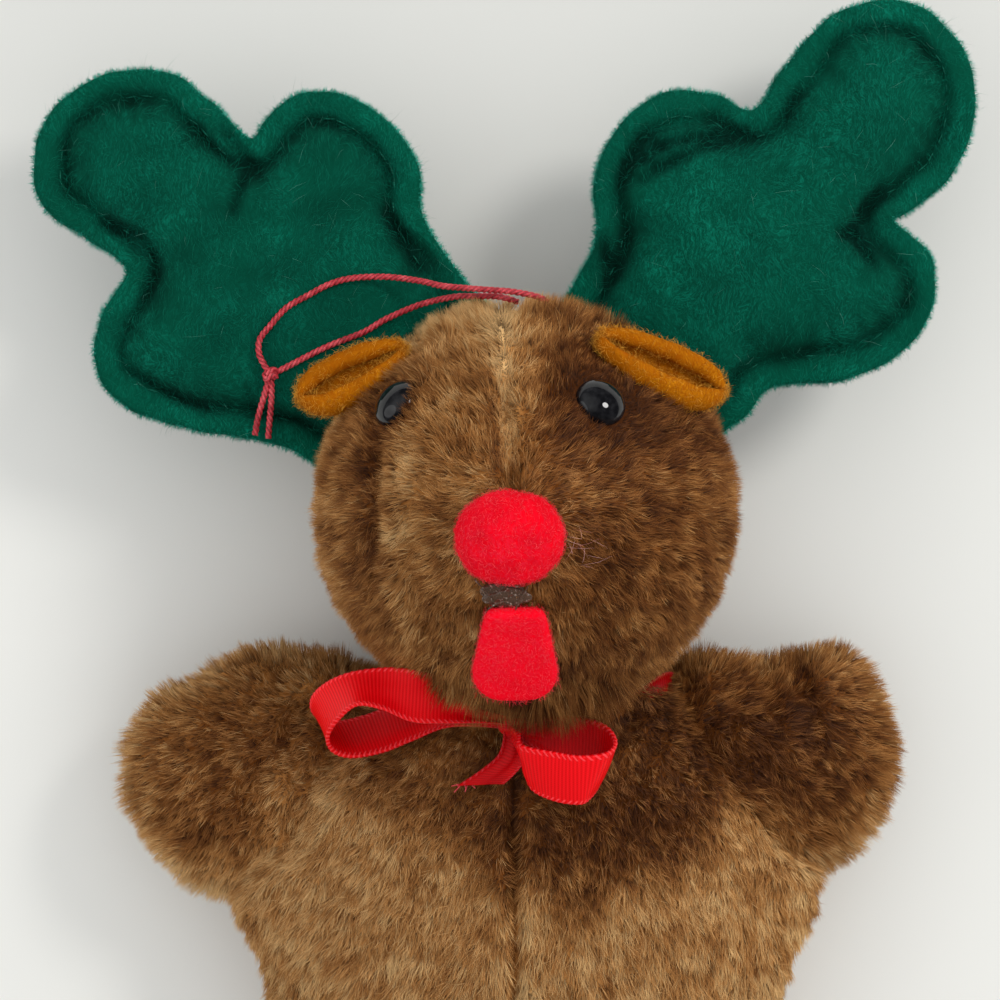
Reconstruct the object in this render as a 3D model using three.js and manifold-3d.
// A plush moose ornament lying on its back with its face up: a stuffed pile-fabric head, torso, arms
// and legs, stuffed felt antlers, folded felt ears, plastic eyes, a felt nose and tongue, a ribbon
// round the neck and a thread loop to hang it by.
// Millimetres. +X is the viewer's right, +Y runs past the top of the head, +Z comes up out of the
// face. The origin is the middle of the flat on which the torso's back rests.

import * as THREE from 'three';
import { mergeVertices } from 'three/addons/utils/BufferGeometryUtils.js';
import Module from 'manifold-3d';

const wasm = await Module();
wasm.setup();

// Fits shared by every piece
const clearance = 0.3;
const restFlatDepth = 0.5;
const cutterSize = 400;

// Pile fabric of the head, torso, arms and legs
const plushThickness = 3;

// Head: a ball turned about Y, with a muzzle that rises out of its front
const headRadius = 25.2;
const headHalfLength = 24.8;
const headX = -0.1;
const headY = 51.8;
const headZ = headRadius - restFlatDepth;
const headSeamX = -1.8;
const muzzleRise = 5;
const muzzleSpread = 14;
const muzzleTurnAngle = -4;
const muzzleLiftAngle = -12;
const headAroundCount = 28;
const headAlongCount = 16;
const headInnerAroundCount = 20;
const headInnerAlongCount = 10;

// Torso: a bean that narrows to the neck, lying on its back
const torsoBottomY = -28;
const torsoTopY = 38;
const torsoHalfWidth = 33;
const torsoHalfDepth = 15.25;
const torsoZ = torsoHalfDepth - restFlatDepth;
const torsoSeamX = -1.5;
const torsoAroundCount = 24;
const torsoInnerAroundCount = 16;
// Each row: place along the torso from the crotch to the neck, width and depth, as shares
const torsoShares = [
  [0.015, 0.3, 0.35], [0.053, 0.6, 0.62], [0.121, 0.82, 0.8], [0.242, 0.95, 0.92],
  [0.394, 1, 1], [0.545, 0.985, 1], [0.682, 0.92, 0.95], [0.788, 0.79, 0.83],
  [0.864, 0.63, 0.7], [0.924, 0.54, 0.6], [0.985, 0.5, 0.52],
];

// Arms and legs: stub limbs that swell and round off
const armZ = 11.5;
const armRootX = 12;
const armHalfDepth = 10.5;
const leftArm = { rootY: 16.5, tipX: -50.5, tipY: 21, halfWidth: 16 };
const rightArm = { rootY: 17.5, tipX: 46.4, tipY: 23.5, halfWidth: 15 };
const legZ = 12;
const legRootX = 13.5;
const legRootY = -12;
const legTipX = 16;
const legTipY = -46;
const legHalfWidth = 12;
const legHalfDepth = 10.5;
const limbAroundCount = 16;
const limbInnerAroundCount = 12;
const armShares = [
  [0.02, 0.6, 0.6], [0.15, 0.9, 0.9], [0.35, 1, 1], [0.6, 1, 1], [0.76, 0.88, 0.9],
  [0.88, 0.66, 0.7], [0.96, 0.38, 0.42],
];
const legShares = [
  [0.02, 0.7, 0.7], [0.2, 0.92, 0.92], [0.5, 0.98, 0.96], [0.75, 1, 1], [0.88, 0.82, 0.84],
  [0.96, 0.5, 0.52],
];

// Eyes: black domes on a shank, locked by a washer inside the fabric
const eyeRadius = 3;
const eyeDomeHeight = 2.4;
const eyeFlangeHeight = 0.5;
const eyePress = 1.6;
const eyeShankRadius = 0.9;
const eyeWasherRadius = 3.2;
const eyeWasherThickness = 0.7;
const eyeWasherDrop = 0.7;
const eyeShankEnd = 0.8;
const eyeRecessDepth = 8;
const eyeSegmentCount = 18;
const eyeDomeSteps = 5;
const eyes = [
  { name: 'left', turnAngle: -47, liftAngle: 31.5 },
  { name: 'right', turnAngle: 24, liftAngle: 31.5 },
];

// Nose, tongue and the glue between them
const noseHalfWidth = 6;
const noseHalfHeight = 5.2;
const noseRise = 3.8;
const noseTurnAngle = -4.6;
const noseLiftAngle = -6.2;
const noseSegmentCount = 16;
const tongueThickness = 1.3;
const tongueLength = 13.5;
const tongueX = -1.5;
const tongueTopDrop = 10.4;
const tongueHalfWidth = 4.8;
const tongueDipAngle = 42;
// Each row: place along the tongue and half width, as shares
const tongueShares = [
  [0, 0.71], [0.25, 0.8], [0.5, 0.92], [0.7, 1], [0.85, 0.94], [0.95, 0.72], [1, 0.45],
];
const glueHalfWidth = 2.4;
const glueHalfHeight = 1.5;
const glueRise = 1.3;
const glueTurnAngle = -6;
const glueLiftAngle = -20.5;
const glueSegmentCount = 12;

// Ears: felt ovals folded along their length, glued to the head at the fold's inner end
const earThickness = 1.2;
const earMouthAngle = 105;
const earArcCount = 6;
const earWallShare = 0.8;
const leftEar = {
  turnAngle: -66, liftAngle: 49, length: 15.5, halfWidth: 3.5, depth: 3.4,
  headingAngle: 206, dipAngle: 2, rollAngle: 16,
};
const rightEar = {
  turnAngle: 38, liftAngle: 54, length: 17.5, halfWidth: 3.7, depth: 3.6,
  headingAngle: -23, dipAngle: 15, rollAngle: -14,
};
const earShares = [
  [0, 0.42], [0.12, 0.66], [0.3, 0.88], [0.55, 1], [0.78, 0.94], [0.92, 0.7], [1, 0.42],
];

// Antlers: two felts stitched round their rim over a stuffing, sewn to the sides of the head
const antlerZ = 18;
const antlerSeat = 18.9;
const antlerSpread = 47;
const antlerReach = 57;
const feltThickness = 1.2;
const feltGap = 0.3;
const stitchInset = 3;
const shoulderInset = 5.2;
const crownInset = 7.4;
const shoulderHeight = 3;
const crownHeight = 3.8;
const stuffingInset = 4.2;
const antlerPointCount = 34;
const insetStepCount = 8;
const insetEaseShare = 0.25;
const antlerSweepAngles = [0, -6, -12, -18];
// Each row: place across and out along the antler as shares of its spread and reach, from the
// inner end of the base round the long tine and the short tine to the outer end
const antlers = [
  {
    name: 'left', turnAngle: 49.43,
    outlineShares: [
      [0.31, -0.05], [0.345, 0.09], [0.4, 0.24], [0.508, 0.345], [0.525, 0.487], [0.447, 0.607],
      [0.325, 0.63], [0.268, 0.628], [0.272, 0.745], [0.25, 0.868], [0.12, 0.965], [-0.062, 0.985],
      [-0.206, 0.885], [-0.206, 0.76], [-0.192, 0.69], [-0.2, 0.645], [-0.328, 0.626],
      [-0.447, 0.558], [-0.466, 0.456], [-0.398, 0.322], [-0.294, 0.172], [-0.262, 0.09],
      [-0.245, -0.04],
    ],
  },
  {
    name: 'right', turnAngle: -38.75,
    outlineShares: [
      [-0.245, -0.04], [-0.258, 0.053], [-0.292, 0.21], [-0.398, 0.318], [-0.428, 0.421],
      [-0.398, 0.544], [-0.302, 0.61], [-0.187, 0.638], [-0.191, 0.756], [-0.178, 0.898],
      [-0.095, 1.005], [0.032, 1.038], [0.185, 0.998], [0.272, 0.909], [0.315, 0.788],
      [0.283, 0.675], [0.272, 0.643], [0.402, 0.632], [0.491, 0.549], [0.502, 0.438],
      [0.434, 0.317], [0.294, 0.202], [0.29, 0.115], [0.268, 0.052], [0.245, -0.04],
    ],
  },
];

// Ribbon: a band round the neck, a knot under the chin, two loops and a tail
const ribbonThickness = 0.5;
const ribbonHalfWidth = 3.3;
const bandWidth = 4.4;
const bandFrontY = 25.2;
const bandBackY = 34;
const knotHalfWidth = 3;
const knotHalfLength = 2.7;
const knotHalfDepth = 2.5;
const knotAroundCount = 16;
const knotAlongCount = 10;
const knotX = -1.7;
const knotY = 23.8;
const gatherShare = 0.3;
const gatherEndShare = 0.45;
const loopStepCount = 16;
const loopRootShare = 0.35;
const leftLoopReach = 20.5;
const leftLoopDepth = 5.6;
const leftLoopY = 26.3;
const leftLoopTiltAngle = 35;
const rightLoopReach = 11;
const rightLoopDepth = 6;
const rightLoopY = 22.6;
const rightLoopTiltAngle = 160;
const tailLength = 8.5;
const tailStepCount = 5;
const tailHeadingAngle = 238;

// Hanging thread: both strands leave the crown, lie over the left antler and meet in a knot
const threadRadius = 0.35;
const threadSides = 8;
const threadSteps = 22;
const threadKnotRadius = 0.9;
const threadKnotSides = 12;
const threadTailSteps = 4;
const frontStrandRoute = [
  [2.4, 76.4, 30], [1.6, 76.9, 30.4], [0.2, 77.3, 30.4], [-2.1, 77.7, 30], [-6.1, 78.1, 28.4],
  [-10.1, 78.6, 26.2], [-12.8, 79.3, 24.7], [-16.9, 79.9, 23.2], [-20.9, 79.8, 22.7],
  [-23.7, 79.1, 22.6], [-26.4, 77.7, 22.6], [-29, 76.2, 22.6], [-31, 74, 22.6],
  [-32.2, 72.4, 22.6], [-32.3, 70.7, 22.6], [-31.6, 69.2, 22.6],
];
const backStrandRoute = [
  [-1, 76.5, 28.7], [-2.2, 76.9, 28.7], [-3.6, 77.2, 28.4], [-6.2, 77.3, 27.2], [-8.8, 77.3, 25.8],
  [-12.8, 76.5, 24], [-17, 74.8, 22.9], [-19.6, 73.3, 22.7], [-23.7, 71.7, 22.6],
  [-26.4, 70.4, 22.6], [-28.5, 69.3, 22.6], [-29.9, 68.6, 22.6],
];
const threadKnotPlace = [-30.9, 68.1, 23];
const threadTailRoutes = [
  [[-31, 67.9, 22.6], [-31.7, 65.5, 22.6], [-32.4, 63, 22.6], [-32.8, 60.8, 22.6]],
  [[-30.8, 67.9, 22.6], [-30.8, 65.4, 22.6], [-31, 62.8, 22.6], [-31.2, 60.4, 22.6]],
];

// Finishes
const pileBrown = new THREE.MeshStandardMaterial({ color: 0x6b4a2f, roughness: 0.95, metalness: 0 });
const stuffingWhite = new THREE.MeshStandardMaterial({ color: 0xe8e6df, roughness: 1, metalness: 0 });
const feltGreen = new THREE.MeshStandardMaterial({ color: 0x006348, roughness: 0.95, metalness: 0 });
const feltAmber = new THREE.MeshStandardMaterial({ color: 0xc27c14, roughness: 0.95, metalness: 0 });
const feltRed = new THREE.MeshStandardMaterial({ color: 0xe01020, roughness: 0.95, metalness: 0 });
const eyeBlack = new THREE.MeshStandardMaterial({ color: 0x08080a, roughness: 0.08, metalness: 0 });
const washerWhite = new THREE.MeshStandardMaterial({ color: 0xd8d8d4, roughness: 0.5, metalness: 0 });
const glueClear = new THREE.MeshStandardMaterial({ color: 0xd9d2c8, roughness: 0.15, metalness: 0 });
const ribbonRed = new THREE.MeshStandardMaterial({ color: 0xd00c14, roughness: 0.35, metalness: 0 });
const threadRed = new THREE.MeshStandardMaterial({ color: 0xb8283c, roughness: 0.7, metalness: 0 });

const up = new THREE.Vector3(0, 0, 1);
const headCentre = new THREE.Vector3(headX, headY, headZ);

function radians(degrees) {
  return THREE.MathUtils.degToRad(degrees);
}

// Turns a closed geometry into a solid for joining and cutting.
function toSolid(geometry) {
  const bare = geometry.clone();
  bare.deleteAttribute('normal');
  bare.deleteAttribute('uv');
  const merged = mergeVertices(bare);
  return new wasm.Manifold(new wasm.Mesh({
    numProp: 3,
    vertProperties: new Float32Array(merged.attributes.position.array),
    triVerts: new Uint32Array(merged.index.array),
  }));
}

function toGeometry(solid) {
  const mesh = solid.getMesh();
  const geometry = new THREE.BufferGeometry();
  geometry.setAttribute('position', new THREE.BufferAttribute(new Float32Array(mesh.vertProperties), 3));
  geometry.setIndex(new THREE.BufferAttribute(new Uint32Array(mesh.triVerts), 1));
  geometry.computeVertexNormals();
  return geometry;
}

// Skins a stack of rings that have the same number of points. An end closes on a tip point, or on
// the triangles given for a flat cap.
function skin(rings, startEnd, finishEnd) {
  const positions = rings.flatMap((ring) => ring.flatMap((point) => point.toArray()));
  const count = rings[0].length;
  const faces = [];
  for (let ringIndex = 0; ringIndex + 1 < rings.length; ringIndex += 1) {
    for (let index = 0; index < count; index += 1) {
      const here = ringIndex * count + index;
      const next = ringIndex * count + ((index + 1) % count);
      faces.push([here, next, next + count], [here, next + count, here + count]);
    }
  }
  const closeEnd = (end, offset, reversed) => {
    let cap = end;
    if (end.isVector3) {
      const tip = positions.length / 3;
      positions.push(...end.toArray());
      cap = rings[0].map((_, index) => [tip - offset, index, (index + 1) % count]);
    }
    for (const [a, b, c] of cap) {
      const face = [a + offset, b + offset, c + offset];
      faces.push(reversed ? face.reverse() : face);
    }
  };
  closeEnd(startEnd, 0, true);
  closeEnd(finishEnd, (rings.length - 1) * count, false);
  const at = (index) => new THREE.Vector3().fromArray(positions, index * 3);
  const volume = faces.reduce((sum, [a, b, c]) => sum + at(a).dot(at(b).cross(at(c))), 0);
  const geometry = new THREE.BufferGeometry();
  geometry.setAttribute('position', new THREE.Float32BufferAttribute(positions, 3));
  geometry.setIndex(faces.flatMap((face) => (volume < 0 ? [...face].reverse() : face)));
  geometry.computeVertexNormals();
  return geometry;
}

// A block that fills one side of a plane: it reaches from the plane away along the axis given.
function halfSpace(axis, sign, place) {
  const block = new THREE.BoxGeometry(cutterSize, cutterSize, cutterSize);
  block.translate(...new THREE.Vector3().setComponent(axis, place + (sign * cutterSize) / 2).toArray());
  return toSolid(block);
}

function headDirection(turnAngle, liftAngle) {
  const turn = radians(turnAngle);
  const lift = radians(liftAngle);
  const out = Math.cos(lift);
  return new THREE.Vector3(Math.sin(turn) * out, Math.sin(lift), Math.cos(turn) * out);
}

const headSize = new THREE.Vector3(headRadius, headHalfLength, headRadius);
const muzzleDirection = headDirection(muzzleTurnAngle, muzzleLiftAngle);
const muzzleFoot = muzzleDirection.clone().multiply(headSize);

// The point of the head's surface in a direction from its centre, moved out by grow. The muzzle
// rises as a bell round its foot.
function headPoint(direction, grow) {
  const onBall = direction.clone().multiply(headSize);
  const normal = direction.clone().divide(headSize).normalize();
  const rise = muzzleRise * Math.exp(-((onBall.distanceTo(muzzleFoot) / muzzleSpread) ** 2));
  return onBall.addScaledVector(muzzleDirection, rise).addScaledVector(normal, grow).add(headCentre);
}

function headNormal(direction) {
  return direction.clone().divide(headSize).normalize();
}

function headForm(grow, aroundCount = headAroundCount, alongCount = headAlongCount) {
  const rings = [];
  for (let along = 1; along < alongCount; along += 1) {
    const lift = (180 * along) / alongCount - 90;
    const ring = [];
    for (let around = 0; around < aroundCount; around += 1) {
      ring.push(headPoint(headDirection((360 * around) / aroundCount, lift), grow));
    }
    rings.push(ring);
  }
  return skin(rings, headPoint(headDirection(0, -90), grow), headPoint(headDirection(0, 90), grow));
}

// A stuffed form along a straight spine: elliptical sections that follow the shares given, closed
// on a tip at both ends and moved out all over by grow.
function stuffedForm(form, grow, aroundCount) {
  const start = new THREE.Vector3(...form.start);
  const finish = new THREE.Vector3(...form.finish);
  const along = finish.clone().sub(start).normalize();
  const across = new THREE.Vector3().crossVectors(along, up).normalize();
  const startTip = start.clone().addScaledVector(along, -grow);
  const finishTip = finish.clone().addScaledVector(along, grow);
  const rings = form.shares.map(([place, width, depth]) => {
    const centre = startTip.clone().lerp(finishTip, place);
    const ring = [];
    for (let index = 0; index < aroundCount; index += 1) {
      const angle = (2 * Math.PI * index) / aroundCount;
      const point = centre.clone();
      point.addScaledVector(across, (form.halfWidth * width + grow) * Math.cos(angle));
      ring.push(point.addScaledVector(up, (form.halfDepth * depth + grow) * Math.sin(angle)));
    }
    return ring;
  });
  return skin(rings, startTip, finishTip);
}

const torsoShape = {
  start: [0, torsoBottomY, torsoZ],
  finish: [0, torsoTopY, torsoZ],
  halfWidth: torsoHalfWidth,
  halfDepth: torsoHalfDepth,
  shares: torsoShares,
};

// The height of the torso's front surface over a point of the floor.
function torsoFront(x, y) {
  const place = (y - torsoBottomY) / (torsoTopY - torsoBottomY);
  const upper = torsoShares.findIndex((row) => row[0] >= place);
  const [lowRow, highRow] = [torsoShares[upper - 1], torsoShares[upper]];
  const blend = (place - lowRow[0]) / (highRow[0] - lowRow[0]);
  const width = torsoHalfWidth * THREE.MathUtils.lerp(lowRow[1], highRow[1], blend);
  const depth = torsoHalfDepth * THREE.MathUtils.lerp(lowRow[2], highRow[2], blend);
  return torsoZ + depth * Math.sqrt(Math.max(0, 1 - (x / width) ** 2));
}

const headClear = toSolid(headForm(clearance));
const torsoClear = toSolid(stuffedForm(torsoShape, clearance, torsoAroundCount));
const belowFloor = halfSpace(2, -1, 0);

const ornament = new THREE.Group();

function addPiece(name, geometry, material, parent = ornament) {
  const piece = new THREE.Mesh(geometry, material);
  piece.name = name;
  parent.add(piece);
  return piece;
}

// Eyes and their washers. An eye is turned round its shank with its flange's seat at zero. The
// washer lies flat under the curved fabric, so it drops until its rim clears it.
const washerDepth = plushThickness - eyePress + clearance + eyeWasherDrop;

function eyeGeometry() {
  const shankLength = washerDepth + eyeWasherThickness + eyeShankEnd;
  const profile = [
    new THREE.Vector2(0, -shankLength),
    new THREE.Vector2(eyeShankRadius, -shankLength),
    new THREE.Vector2(eyeShankRadius, 0),
    new THREE.Vector2(eyeRadius, 0),
  ];
  for (let step = 0; step <= eyeDomeSteps; step += 1) {
    const angle = (Math.PI / 2) * (step / eyeDomeSteps);
    const height = eyeFlangeHeight + (eyeDomeHeight - eyeFlangeHeight) * Math.sin(angle);
    profile.push(new THREE.Vector2(step === eyeDomeSteps ? 0 : eyeRadius * Math.cos(angle), height));
  }
  return new THREE.LatheGeometry(profile, eyeSegmentCount).rotateX(Math.PI / 2);
}

function washerGeometry() {
  const top = -washerDepth;
  const bottom = top - eyeWasherThickness;
  const bore = eyeShankRadius + clearance;
  const corners = [
    [bore, bottom], [eyeWasherRadius, bottom], [eyeWasherRadius, top], [bore, top], [bore, bottom],
  ];
  const points = corners.map(([radius, height]) => new THREE.Vector2(radius, height));
  return new THREE.LatheGeometry(points, eyeSegmentCount).rotateX(Math.PI / 2);
}

// A cylinder along the eye's axis from one height to another.
function eyeBore(radius, low, high) {
  const bore = new THREE.CylinderGeometry(radius, radius, high - low, eyeSegmentCount);
  return bore.rotateX(Math.PI / 2).translate(0, 0, (low + high) / 2);
}

let headShell = toSolid(headForm(0));
const headInner = (grow) => toSolid(headForm(grow, headInnerAroundCount, headInnerAlongCount));
let headFill = headInner(-plushThickness - clearance);
const headHollow = headInner(-plushThickness);
headShell = headShell.subtract(headHollow).subtract(belowFloor);
for (const eye of eyes) {
  const direction = headDirection(eye.turnAngle, eye.liftAngle);
  const group = new THREE.Group();
  group.position.copy(headPoint(direction, -eyePress));
  group.quaternion.setFromUnitVectors(up, headNormal(direction));
  group.updateMatrix();
  addPiece(`eye_${eye.name}`, eyeGeometry(), eyeBlack, group);
  addPiece(`eye_washer_${eye.name}`, washerGeometry(), washerWhite, group);
  ornament.add(group);
  const recess = eyeBore(eyeRadius + clearance, -clearance, eyeRecessDepth);
  const hole = eyeBore(eyeShankRadius + clearance, -eyeRecessDepth, eyeRecessDepth);
  const pocket = eyeBore(eyeWasherRadius + clearance, -eyeRecessDepth, eyeRecessDepth);
  headShell = headShell.subtract(toSolid(recess.applyMatrix4(group.matrix)));
  headShell = headShell.subtract(toSolid(hole.applyMatrix4(group.matrix)));
  headFill = headFill.subtract(toSolid(pocket.applyMatrix4(group.matrix)));
}
const headSeam = headX + headSeamX;
const headLeft = headShell.intersect(halfSpace(0, -1, headSeam - clearance / 2));
const headRight = headShell.intersect(halfSpace(0, 1, headSeam + clearance / 2));
addPiece('head_cover_left', toGeometry(headLeft), pileBrown);
addPiece('head_cover_right', toGeometry(headRight), pileBrown);
addPiece('head_stuffing', toGeometry(headFill), stuffingWhite);

// Torso: two front panels that meet on the middle seam, and a back panel
const torsoShell = toSolid(stuffedForm(torsoShape, 0, torsoAroundCount))
  .subtract(toSolid(stuffedForm(torsoShape, -plushThickness, torsoInnerAroundCount)))
  .subtract(belowFloor)
  .subtract(headClear);
const torsoFrontHalf = torsoShell.intersect(halfSpace(2, 1, torsoZ + clearance / 2));
const torsoLeft = torsoFrontHalf.intersect(halfSpace(0, -1, torsoSeamX - clearance / 2));
const torsoRight = torsoFrontHalf.intersect(halfSpace(0, 1, torsoSeamX + clearance / 2));
const torsoBack = torsoShell.intersect(halfSpace(2, -1, torsoZ - clearance / 2));
const torsoFill = toSolid(stuffedForm(torsoShape, -plushThickness - clearance, torsoInnerAroundCount));
addPiece('torso_front_left', toGeometry(torsoLeft), pileBrown);
addPiece('torso_front_right', toGeometry(torsoRight), pileBrown);
addPiece('torso_back', toGeometry(torsoBack), pileBrown);
addPiece('torso_stuffing', toGeometry(torsoFill.subtract(headClear)), stuffingWhite);

// Ribbon band: the layer round the neck between two tilted planes
const bandTilt = Math.atan2(bandBackY - bandFrontY, 2 * torsoHalfDepth);
const bandMiddleY = (bandFrontY + bandBackY) / 2;

function bandSlab(width) {
  const slab = new THREE.BoxGeometry(cutterSize, width, cutterSize);
  return toSolid(slab.rotateX(bandTilt).translate(0, bandMiddleY, torsoZ));
}

function torsoGrown(grow) {
  return toSolid(stuffedForm(torsoShape, grow, torsoAroundCount));
}

const bandOuter = clearance + ribbonThickness;
const band = torsoGrown(bandOuter).subtract(torsoClear).intersect(bandSlab(bandWidth)).subtract(headClear);
const bandRoom = torsoGrown(bandOuter + clearance).intersect(bandSlab(bandWidth + 2 * clearance));
addPiece('ribbon_neck_band', toGeometry(band.subtract(belowFloor)), ribbonRed);

// Arms and legs: a sleeve, open where it meets the torso, over its stuffing
function addLimb(name, shape) {
  const cutBy = (solid) => solid.subtract(torsoClear).subtract(bandRoom).subtract(headClear);
  const outside = toSolid(stuffedForm(shape, 0, limbAroundCount));
  const inside = toSolid(stuffedForm(shape, -plushThickness, limbInnerAroundCount));
  const fill = toSolid(stuffedForm(shape, -plushThickness - clearance, limbInnerAroundCount));
  addPiece(`${name}_cover`, toGeometry(cutBy(outside.subtract(inside))), pileBrown);
  addPiece(`${name}_stuffing`, toGeometry(cutBy(fill)), stuffingWhite);
}

for (const [name, side, arm] of [['arm_left', -1, leftArm], ['arm_right', 1, rightArm]]) {
  addLimb(name, {
    start: [side * armRootX, arm.rootY, armZ],
    finish: [arm.tipX, arm.tipY, armZ],
    halfWidth: arm.halfWidth,
    halfDepth: armHalfDepth,
    shares: armShares,
  });
}
for (const [name, side] of [['leg_left', -1], ['leg_right', 1]]) {
  addLimb(name, {
    start: [side * legRootX, legRootY, legZ],
    finish: [side * legTipX, legTipY, legZ],
    halfWidth: legHalfWidth,
    halfDepth: legHalfDepth,
    shares: legShares,
  });
}

// Nose: a felt button seated on the muzzle
const noseDirection = headDirection(noseTurnAngle, noseLiftAngle);
const nosePlace = new THREE.Matrix4().compose(
  headPoint(noseDirection, 0),
  new THREE.Quaternion().setFromUnitVectors(up, headNormal(noseDirection)),
  new THREE.Vector3(1, 1, 1),
);

function buttonForm(place, halfWidth, halfHeight, rise, grow, segments) {
  const button = new THREE.SphereGeometry(1, segments, segments / 2);
  return button.scale(halfWidth + grow, halfHeight + grow, rise + grow).applyMatrix4(place);
}

const nose = toSolid(buttonForm(nosePlace, noseHalfWidth, noseHalfHeight, noseRise, 0, noseSegmentCount));
const noseClear = toSolid(
  buttonForm(nosePlace, noseHalfWidth, noseHalfHeight, noseRise, clearance, noseSegmentCount),
);
addPiece('nose', toGeometry(nose.subtract(headClear)), feltRed);

// Tongue: a felt strip that leaves the muzzle under the nose and hangs over the chin
function tongueForm(grow) {
  const topDirection = new THREE.Vector3(
    tongueX / headRadius,
    -tongueTopDrop / headHalfLength,
    Math.sqrt(1 - (tongueX / headRadius) ** 2 - (tongueTopDrop / headHalfLength) ** 2),
  );
  const top = headPoint(topDirection, clearance + tongueThickness / 2);
  const dip = radians(tongueDipAngle);
  const along = new THREE.Vector3(0, -Math.cos(dip), -Math.sin(dip));
  const face = new THREE.Vector3(0, -Math.sin(dip), Math.cos(dip));
  const rings = tongueShares.map(([place, width]) => {
    const reach = place * (tongueLength + 2 * grow) - grow;
    const centre = top.clone().addScaledVector(along, reach);
    const half = tongueHalfWidth * width + grow;
    const depth = tongueThickness / 2 + grow;
    return [[-half, -depth], [half, -depth], [half, depth], [-half, depth]].map(([x, z]) => {
      return centre.clone().add(new THREE.Vector3(x, 0, 0)).addScaledVector(face, z);
    });
  });
  const flat = [[0, 1, 2], [0, 2, 3]];
  return skin(rings, flat, flat);
}

addPiece('tongue', toGeometry(toSolid(tongueForm(0)).subtract(headClear).subtract(noseClear)), feltRed);

// Glue: a clear blob that shows between the nose and the tongue
const glueDirection = headDirection(glueTurnAngle, glueLiftAngle);
const gluePlace = new THREE.Matrix4().compose(
  headPoint(glueDirection, 0),
  new THREE.Quaternion().setFromUnitVectors(up, headNormal(glueDirection)),
  new THREE.Vector3(1, 1, 1),
);
const glue = toSolid(buttonForm(gluePlace, glueHalfWidth, glueHalfHeight, glueRise, 0, glueSegmentCount));
addPiece(
  'glue_blob',
  toGeometry(glue.subtract(headClear).subtract(noseClear).subtract(toSolid(tongueForm(clearance)))),
  glueClear,
);

// Ears: a channel of felt whose mouth faces up, drawn in towards both ends
function earForm(ear) {
  const rings = earShares.map(([place, width]) => {
    const halfWidth = ear.halfWidth * width;
    const depth = ear.depth * width;
    const wall = Math.min(earThickness, halfWidth * earWallShare);
    const outer = [];
    const inner = [];
    for (let step = 0; step <= earArcCount; step += 1) {
      const angle = radians(earMouthAngle * ((2 * step) / earArcCount - 1));
      const [side, low] = [Math.sin(angle), -Math.cos(angle)];
      outer.push(new THREE.Vector3(place * ear.length, halfWidth * side, depth * low));
      const [innerSide, innerLow] = [(halfWidth - wall) * side, (depth - wall) * low];
      inner.unshift(new THREE.Vector3(place * ear.length, innerSide, innerLow));
    }
    return [...outer, ...inner];
  });
  const cap = [];
  const last = 2 * earArcCount + 1;
  for (let step = 0; step < earArcCount; step += 1) {
    cap.push([step, step + 1, last - step - 1], [step, last - step - 1, last - step]);
  }
  return skin(rings, cap, cap);
}

for (const [name, ear] of [['left', leftEar], ['right', rightEar]]) {
  const angles = [ear.rollAngle, ear.dipAngle, ear.headingAngle].map(radians);
  const turn = new THREE.Euler(...angles, 'ZYX');
  const place = new THREE.Matrix4().compose(
    headPoint(headDirection(ear.turnAngle, ear.liftAngle), ear.depth * earShares[0][1]),
    new THREE.Quaternion().setFromEuler(turn),
    new THREE.Vector3(1, 1, 1),
  );
  const solid = toSolid(earForm(ear).applyMatrix4(place)).subtract(headClear);
  addPiece(`ear_${name}`, toGeometry(solid), feltAmber);
}

// Antlers: each is built flat round its hinge line, across it along X and out along Y.
function antlerOutline(shares) {
  const points = shares.map(([across, out]) => {
    return new THREE.Vector3(across * antlerSpread, out * antlerReach, 0);
  });
  const ring = new THREE.CatmullRomCurve3(points, true, 'centripetal').getSpacedPoints(antlerPointCount);
  ring.pop();
  return THREE.ShapeUtils.isClockWise(ring) ? ring.reverse() : ring;
}

// Draws a ring in by a distance in small steps, easing each step so that tight curves don't cross.
function drawnIn(ring, distance) {
  let current = ring;
  for (let step = 0; step < insetStepCount; step += 1) {
    const from = current;
    current = from.map((point, index) => {
      const before = from[(index + from.length - 1) % from.length];
      const after = from[(index + 1) % from.length];
      const tangent = after.clone().sub(before).normalize();
      const inward = new THREE.Vector3(-tangent.y, tangent.x, 0);
      const middle = before.clone().add(after).multiplyScalar(0.5);
      return point.clone().lerp(middle, insetEaseShare).addScaledVector(inward, distance / insetStepCount);
    });
  }
  return current;
}

function atHeight(ring, height) {
  return ring.map((point) => new THREE.Vector3(point.x, point.y, height));
}

function capOf(ring) {
  return THREE.ShapeUtils.triangulateShape(ring.map((point) => new THREE.Vector2(point.x, point.y)), []);
}

// The felt's mirror image in the antler's own plane, with its faces turned the right way out
function mirrored(geometry) {
  const mirror = geometry.clone().scale(1, 1, -1);
  const order = Array.from(mirror.index.array);
  for (let face = 0; face < order.length; face += 3) {
    [order[face], order[face + 2]] = [order[face + 2], order[face]];
  }
  mirror.setIndex(order);
  mirror.computeVertexNormals();
  return mirror;
}

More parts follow.
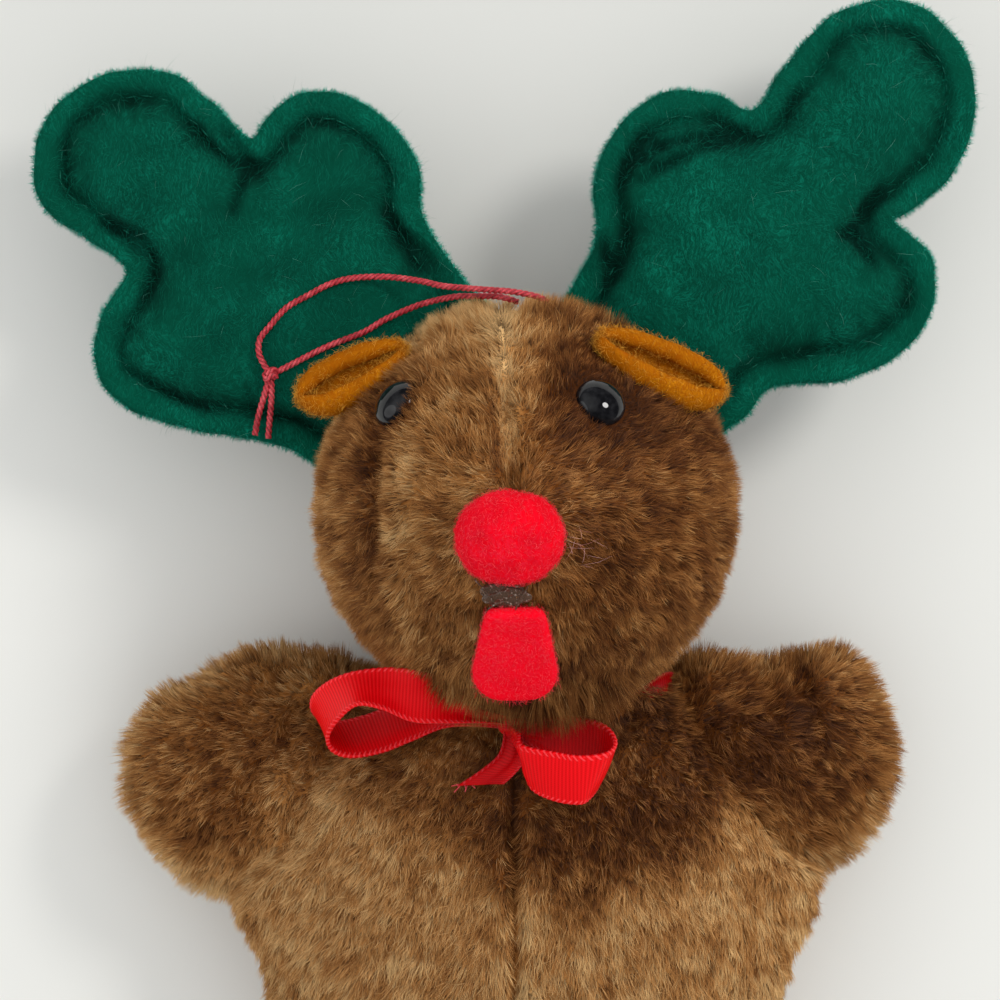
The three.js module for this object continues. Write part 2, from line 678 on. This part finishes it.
for (const antler of antlers) {
  const rim = antlerOutline(antler.outlineShares);
  const stitch = drawnIn(rim, stitchInset);
  const fillEdge = drawnIn(rim, stuffingInset);
  const shoulder = drawnIn(rim, shoulderInset);
  const crown = drawnIn(rim, crownInset);
  const crownCap = capOf(crown);
  const rest = feltGap / 2;
  const outerRings = [
    atHeight(crown, crownHeight), atHeight(shoulder, shoulderHeight),
    atHeight(stitch, rest + feltThickness), atHeight(rim, rest + feltThickness),
  ];
  const innerRings = [
    atHeight(rim, rest), atHeight(stitch, rest),
    atHeight(shoulder, shoulderHeight - feltThickness), atHeight(crown, crownHeight - feltThickness),
  ];
  const felt = skin([...outerRings, ...innerRings], crownCap, crownCap);
  const fillTop = [
    atHeight(crown, crownHeight - feltThickness - clearance),
    atHeight(shoulder, shoulderHeight - feltThickness - clearance),
    atHeight(fillEdge, rest),
  ];
  const fillBottom = fillTop.map((ring) => atHeight(ring, -ring[0].z)).reverse();
  const fill = skin([...fillTop, ...fillBottom], crownCap, crownCap);
  const group = new THREE.Group();
  group.rotation.z = radians(antler.turnAngle);
  group.position.set(headX, headY, antlerZ);
  group.translateY(antlerSeat);
  group.updateMatrix();
  const toAntler = group.matrix.clone().invert();
  const sweep = antlerSweepAngles.map((angle) => {
    const unturned = new THREE.Matrix4().makeRotationX(radians(-angle));
    return toSolid(headForm(clearance).applyMatrix4(toAntler).applyMatrix4(unturned));
  });
  const cutBack = (solid) => sweep.reduce((left, head) => left.subtract(head), solid);
  addPiece(`antler_${antler.name}_front`, toGeometry(cutBack(toSolid(felt))), feltGreen, group);
  addPiece(`antler_${antler.name}_back`, toGeometry(cutBack(toSolid(mirrored(felt)))), feltGreen, group);
  addPiece(`antler_${antler.name}_stuffing`, toGeometry(cutBack(toSolid(fill))), stuffingWhite, group);
  ornament.add(group);
}

// Ribbon strip: a thin rectangle carried along a path, its width along one direction. It's gathered
// to a share of its width in the knot and opens out over the first part of its way.
function gathered(outShare) {
  return Math.min(1, gatherShare + ((1 - gatherShare) * outShare) / gatherEndShare);
}

function stripForm(path, widthDirection, widthShares) {
  const tangents = path.map((point, index) => {
    const before = path[Math.max(0, index - 1)];
    const after = path[Math.min(path.length - 1, index + 1)];
    return after.clone().sub(before).normalize();
  });
  const rings = path.map((point, index) => {
    const face = new THREE.Vector3().crossVectors(tangents[index], widthDirection).normalize();
    const half = ribbonThickness / 2;
    return [[-1, -1], [1, -1], [1, 1], [-1, 1]].map(([wide, thick]) => {
      const corner = point.clone().addScaledVector(face, thick * half);
      return corner.addScaledVector(widthDirection, wide * ribbonHalfWidth * widthShares[index]);
    });
  });
  const flat = [[0, 1, 2], [0, 2, 3]];
  return skin(rings, flat, flat);
}

const knotZ = torsoFront(knotX, knotY) + bandOuter + clearance + knotHalfDepth;

function knotForm(grow) {
  const knot = new THREE.SphereGeometry(1, knotAroundCount, knotAlongCount);
  knot.scale(knotHalfWidth + grow, knotHalfLength + grow, knotHalfDepth + grow);
  return toSolid(knot.translate(knotX, knotY, knotZ));
}

// A loop of ribbon that leaves the knot, swings out and comes back under itself
function loopForm(side, reach, depth, middleY, tiltAngle) {
  const tilt = radians(tiltAngle);
  const widthDirection = new THREE.Vector3(0, -Math.cos(tilt), Math.sin(tilt));
  const drop = ribbonHalfWidth * Math.abs(Math.sin(tilt)) + ribbonThickness / 2 + bandOuter + clearance;
  const span = ribbonHalfWidth * Math.abs(Math.cos(tilt));
  const path = [];
  const widthShares = [];
  for (let step = 0; step <= loopStepCount; step += 1) {
    const angle = Math.PI * ((2 * step) / loopStepCount - 1);
    const out = (reach / 2) * (1 + Math.cos(angle));
    const lean = Math.sin(angle) * Math.min(1, loopRootShare + out / reach);
    const x = knotX + side * out;
    const y = THREE.MathUtils.lerp(knotY, middleY, out / reach);
    const chest = Math.max(torsoFront(x, y - span), torsoFront(x, y + span));
    const opened = gathered(out / reach);
    const rise = (opened - gatherShare) / (1 - gatherShare);
    const middle = THREE.MathUtils.lerp(knotZ, chest + drop + depth / 2, rise);
    path.push(new THREE.Vector3(x, y, middle + (depth / 2) * lean));
    widthShares.push(opened);
  }
  return toSolid(stripForm(path, widthDirection, widthShares));
}

const chestAndHead = torsoGrown(bandOuter + clearance).add(headClear);
const ribbonCutters = knotForm(clearance).add(chestAndHead);
addPiece('ribbon_knot', toGeometry(knotForm(0).subtract(chestAndHead)), ribbonRed);
const leftLoop = loopForm(-1, leftLoopReach, leftLoopDepth, leftLoopY, leftLoopTiltAngle);
const rightLoop = loopForm(1, rightLoopReach, rightLoopDepth, rightLoopY, rightLoopTiltAngle);
addPiece('ribbon_loop_left', toGeometry(leftLoop.subtract(ribbonCutters)), ribbonRed);
addPiece('ribbon_loop_right', toGeometry(rightLoop.subtract(ribbonCutters)), ribbonRed);

// The tail lies on the chest below the knot and ends in a slanting cut.
function tailForm() {
  const heading = radians(tailHeadingAngle);
  const along = new THREE.Vector3(Math.cos(heading), Math.sin(heading), 0);
  const widthDirection = new THREE.Vector3(-along.y, along.x, 0);
  const path = [];
  for (let step = 0; step <= tailStepCount; step += 1) {
    const point = new THREE.Vector3(knotX, knotY, 0);
    point.addScaledVector(along, (tailLength * step) / tailStepCount);
    point.z = torsoFront(0, point.y) + bandOuter + clearance + ribbonThickness / 2;
    path.push(point);
  }
  return toSolid(stripForm(path, widthDirection, path.map((_, step) => gathered(step / tailStepCount))));
}

addPiece('ribbon_tail', toGeometry(tailForm().subtract(ribbonCutters)), ribbonRed);

// Hanging thread: a tube along each strand, and a knot with the two free ends of the thread
function threadForm(route, steps) {
  const curve = new THREE.CatmullRomCurve3(route.map((point) => new THREE.Vector3(...point)));
  const section = new THREE.Shape(Array.from({ length: threadSides }, (_, index) => {
    const angle = (2 * Math.PI * index) / threadSides;
    return new THREE.Vector2(threadRadius * Math.cos(angle), threadRadius * Math.sin(angle));
  }));
  return toSolid(new THREE.ExtrudeGeometry(section, { steps, extrudePath: curve, bevelEnabled: false }));
}

function threadKnotForm(grow) {
  const ball = new THREE.SphereGeometry(threadKnotRadius + grow, threadKnotSides, threadKnotSides / 2);
  return toSolid(ball.translate(...threadKnotPlace));
}

const threadKnot = threadTailRoutes.reduce(
  (knot, route) => knot.add(threadForm(route, threadTailSteps)),
  threadKnotForm(0),
);
const strandEnd = threadKnotForm(clearance);
const frontStrand = threadForm(frontStrandRoute, threadSteps).subtract(strandEnd);
const backStrand = threadForm(backStrandRoute, threadSteps).subtract(strandEnd);
addPiece('thread_strand_front', toGeometry(frontStrand), threadRed);
addPiece('thread_strand_back', toGeometry(backStrand), threadRed);
addPiece('thread_knot', toGeometry(threadKnot), threadRed);

export default ornament;
